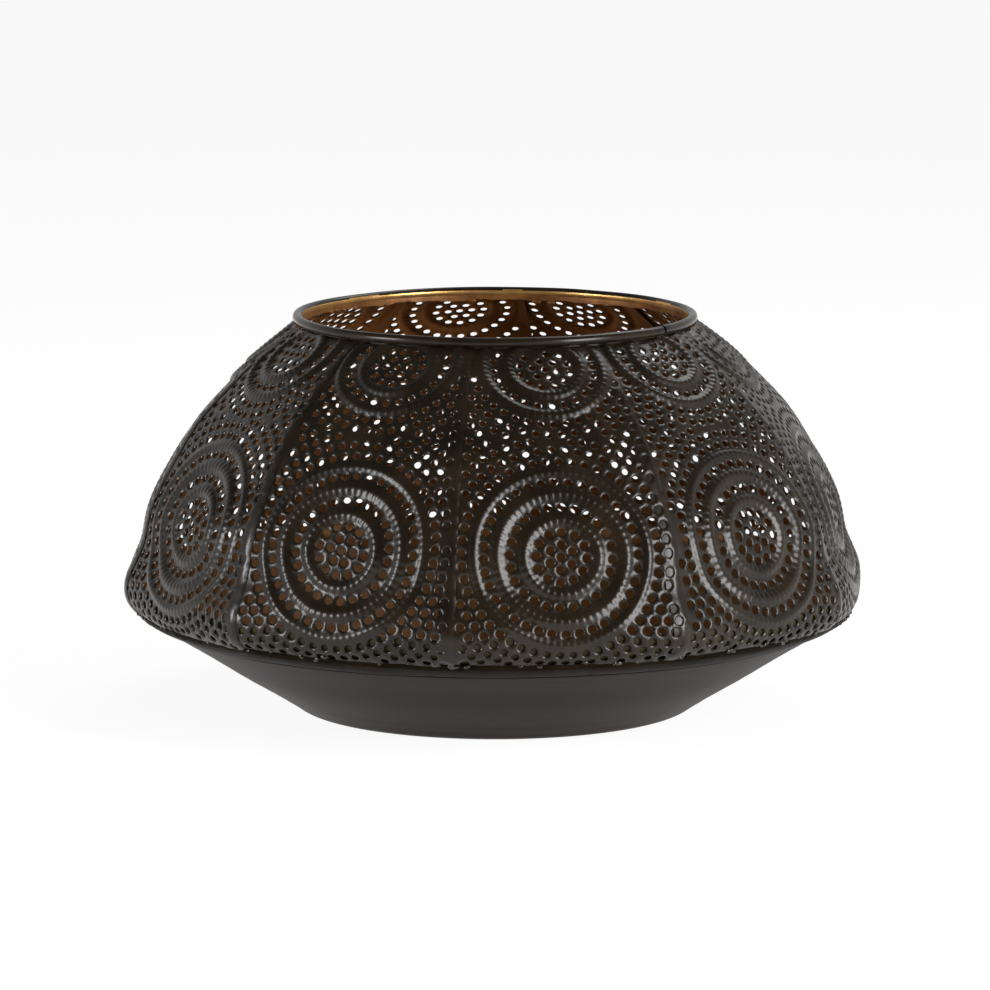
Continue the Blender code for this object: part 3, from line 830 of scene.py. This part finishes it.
wick_low, wick_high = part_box("candle_wick")
wick_bm = bmesh.new()
bmesh.ops.create_cone(wick_bm, cap_ends=True, segments=18, radius1=0.85 * MM, radius2=0.55 * MM,
                      depth=wick_high[2] - wick_low[2])
bmesh.ops.translate(wick_bm, vec=(0, 0, (wick_high[2] + wick_low[2]) / 2), verts=wick_bm.verts)
side = [e for e in wick_bm.edges if abs(e.verts[0].co.z - e.verts[1].co.z) > 5 * MM]
bmesh.ops.subdivide_edges(wick_bm, edges=side, cuts=70, use_grid_fill=True)
for v in wick_bm.verts:         # three plaited strands, bent over slightly at the top
    angle = angle_of(v.co.x, v.co.y)
    up = v.co.z - wick_low[2]
    v.co.x *= 0.84 + 0.16 * cos(3 * angle + up / MM * 2.4)
    v.co.y *= 0.84 + 0.16 * cos(3 * angle - up / MM * 2.4)
    v.co.x += 0.8 * MM * ease((up - 13 * MM) / (8 * MM))
place(to_object(wick_bm, "plaited_wick",
                painted("cotton", dark_lacquer, (0.80, 0.77, 0.69), (0.62, 0.58, 0.50), 0.85,
                        900.0, bump=0.5), sharp=70.0), "candle_wick", "tealight")

tab_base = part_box("wick_tab")[0][2]
tab_section = smooth_curve([(1.2, 0.0), (6.6, 0.0), (7.0, 0.2), (6.9, 0.55), (6.4, 0.6),
                            (2.6, 0.6), (1.9, 0.85), (1.7, 2.5), (1.2, 2.55)], 3)
tab_bm = swept_ring([(r * MM, z * MM + tab_base) for r, z in tab_section], 0.0, 360.0, 60,
                    close=True)
place(to_object(tab_bm, "tin_tab",
                bare_metal("tinned sheet", (0.66, 0.66, 0.67), (0.50, 0.50, 0.52), 0.35)),
      "wick_tab", "tealight")


# ======================================================================================
# Setting.  A pale table, white all round with the dark of the room over and before it, a
# low window of light to the right, and the camera.
# ======================================================================================
floor_bm = bmesh.new()
bmesh.ops.create_circle(floor_bm, cap_ends=True, segments=96, radius=14.0)
floor_paint = bpy.data.materials.new("pale table")
floor_paint.use_nodes = True
floor_shader = floor_paint.node_tree.nodes["Principled BSDF"]
floor_shader.inputs["Base Color"].default_value = (0.20, 0.20, 0.20, 1.0)
floor_shader.inputs["Specular IOR Level"].default_value = 0.0
floor_shader.inputs["Roughness"].default_value = 0.9
floor_shader.inputs["Emission Color"].default_value = (1.0, 1.0, 1.0, 1.0)
floor_shader.inputs["Emission Strength"].default_value = 0.90      # a lit table
floor = to_object(floor_bm, "table_top", floor_paint)
bpy.context.scene.collection.objects.link(floor)

world = bpy.data.worlds.new("studio")
bpy.context.scene.world = world
world.use_nodes = True
room, join = world.node_tree.nodes, world.node_tree.links.new
sky = room["Background"]
axes = room.new("ShaderNodeSeparateXYZ")
join(room.new("ShaderNodeTexCoord").outputs["Generated"], axes.inputs["Vector"])


def shade(axis, start, end, low, high):
    """A soft ramp of the room's brightness along one axis."""
    ramp = room.new("ShaderNodeMapRange")
    ramp.interpolation_type = "SMOOTHSTEP"
    for name, value in (("From Min", start), ("From Max", end), ("To Min", low), ("To Max", high)):
        ramp.inputs[name].default_value = value
    join(axes.outputs[axis], ramp.inputs["Value"])
    return ramp.outputs["Result"]


light = room.new("ShaderNodeMath")
light.operation = "MULTIPLY"
join(shade("Y", -0.95, -0.45, 0.02, 0.60), light.inputs[0])       # dark before the table
join(shade("Z", 0.30, 0.78, 1.0, 0.15), light.inputs[1])          # and dim overhead
join(light.outputs["Value"], sky.inputs["Strength"])
sky.inputs["Color"].default_value = (1.0, 1.0, 1.0, 1.0)


def softbox(name, azimuth, height, away, size, power, aim=(0.0, 0.0, 0.09)):
    """A rectangle of soft light, turned to the bowl."""
    lamp = bpy.data.lights.new(name, "AREA")
    lamp.shape = "RECTANGLE"
    lamp.size, lamp.size_y = size
    lamp.energy = power
    ob = bpy.data.objects.new(name, lamp)
    a = radians(azimuth)
    ob.location = (away * sin(a), -away * cos(a), height)
    ob.rotation_euler = (Vector(aim) - ob.location).to_track_quat("-Z", "Y").to_euler()
    bpy.context.scene.collection.objects.link(ob)


softbox("window right", 50.0, 0.50, 1.6, (0.62, 1.00), 27.0)
softbox("window left", -64.0, 0.40, 1.7, (0.40, 0.60), 14.0)
softbox("high right", 150.0, 1.3, 1.0, (0.7, 0.7), 5.0)

CAMERA_AWAY = 2.970
CAMERA_TILT = 9.19              # degrees down
aim = Vector((0.0, 0.0, 0.0825))
camera = bpy.data.cameras.new("camera")
camera.sensor_width = 36.0
camera.lens = 243.0
camera.shift_y = 0.0258
camera.clip_end = 60.0
camera_ob = bpy.data.objects.new("camera", camera)
tilt = radians(CAMERA_TILT)
camera_ob.location = aim + Vector((0.0, -CAMERA_AWAY * cos(tilt), CAMERA_AWAY * sin(tilt)))
camera_ob.rotation_euler = (radians(90.0 - CAMERA_TILT), 0.0, 0.0)
bpy.context.scene.collection.objects.link(camera_ob)
bpy.context.scene.camera = camera_ob
bpy.context.scene.view_settings.view_transform = "Standard"
